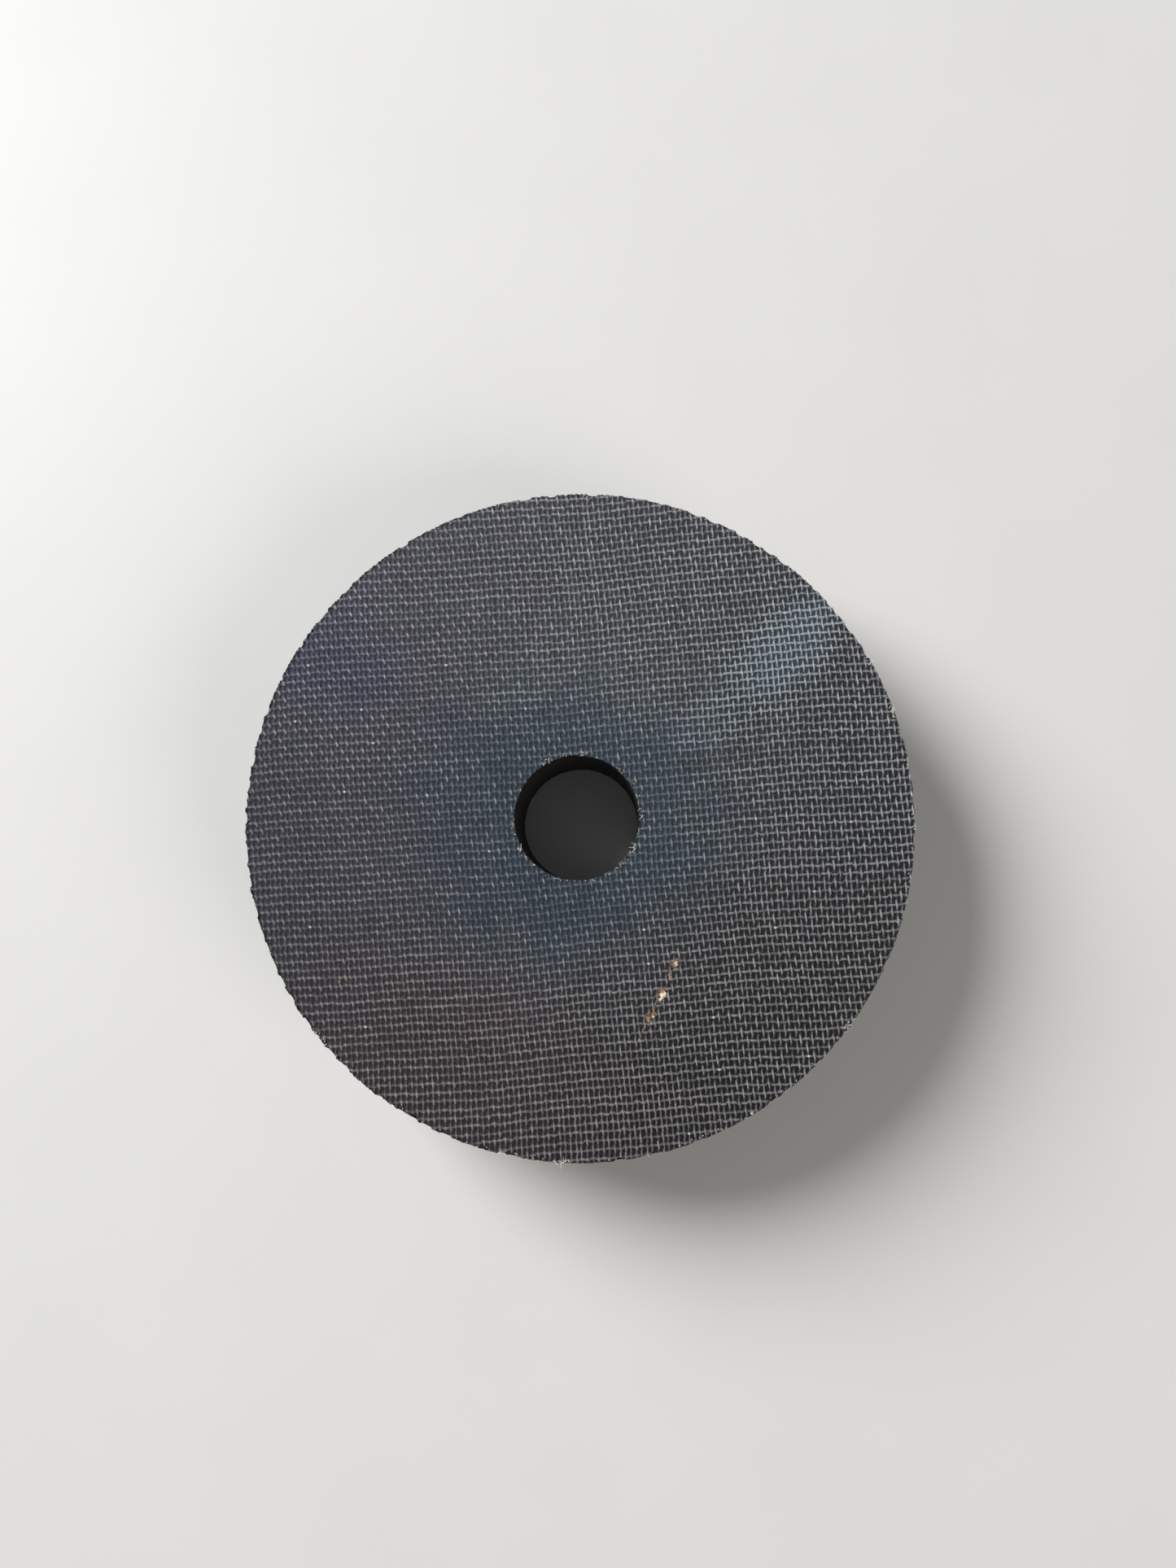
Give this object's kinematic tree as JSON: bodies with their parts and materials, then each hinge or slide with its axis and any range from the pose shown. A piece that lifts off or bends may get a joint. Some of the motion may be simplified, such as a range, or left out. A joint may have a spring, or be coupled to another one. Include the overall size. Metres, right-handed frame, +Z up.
{
  "type": "canvas laminate disc",
  "caption": "Thick round disc of resin-bonded woven canvas plies with square-cut rims, weave showing on both faces, and a plain through bore at its centre.",
  "frame": {"origin": "centre of the bore on the resting face", "axes": "+Z up along the bore, +X along the weft yarns' general run, +Y along the warp yarns'"},
  "size_m": [0.076, 0.076, 0.0138],
  "materials": {
    "face_canvas": "resin-soaked canvas, matt satin",
    "edge_dark": "turned canvas edge, dark resin tone",
    "edge_light": "turned canvas edge, light cloth tone"
  },
  "bodies": {
    "root": {"bottom_face_ply": "face_canvas", "core_ply_01": "edge_light", "core_ply_02": "edge_dark", "core_ply_03": "edge_light", "core_ply_04": "edge_dark", "core_ply_05": "edge_light", "core_ply_06": "edge_dark", "core_ply_07": "edge_light", "core_ply_08": "edge_dark", "core_ply_09": "edge_light", "core_ply_10": "edge_dark", "core_ply_11": "edge_light", "core_ply_12": "edge_dark", "core_ply_13": "edge_light", "core_ply_14": "edge_dark", "core_ply_15": "edge_light", "core_ply_16": "edge_dark", "core_ply_17": "edge_light", "core_ply_18": "edge_dark", "core_ply_19": "edge_light", "core_ply_20": "edge_dark", "core_ply_21": "edge_light", "core_ply_22": "edge_dark", "top_face_ply": "face_canvas"}
  },
  "joints": []
}
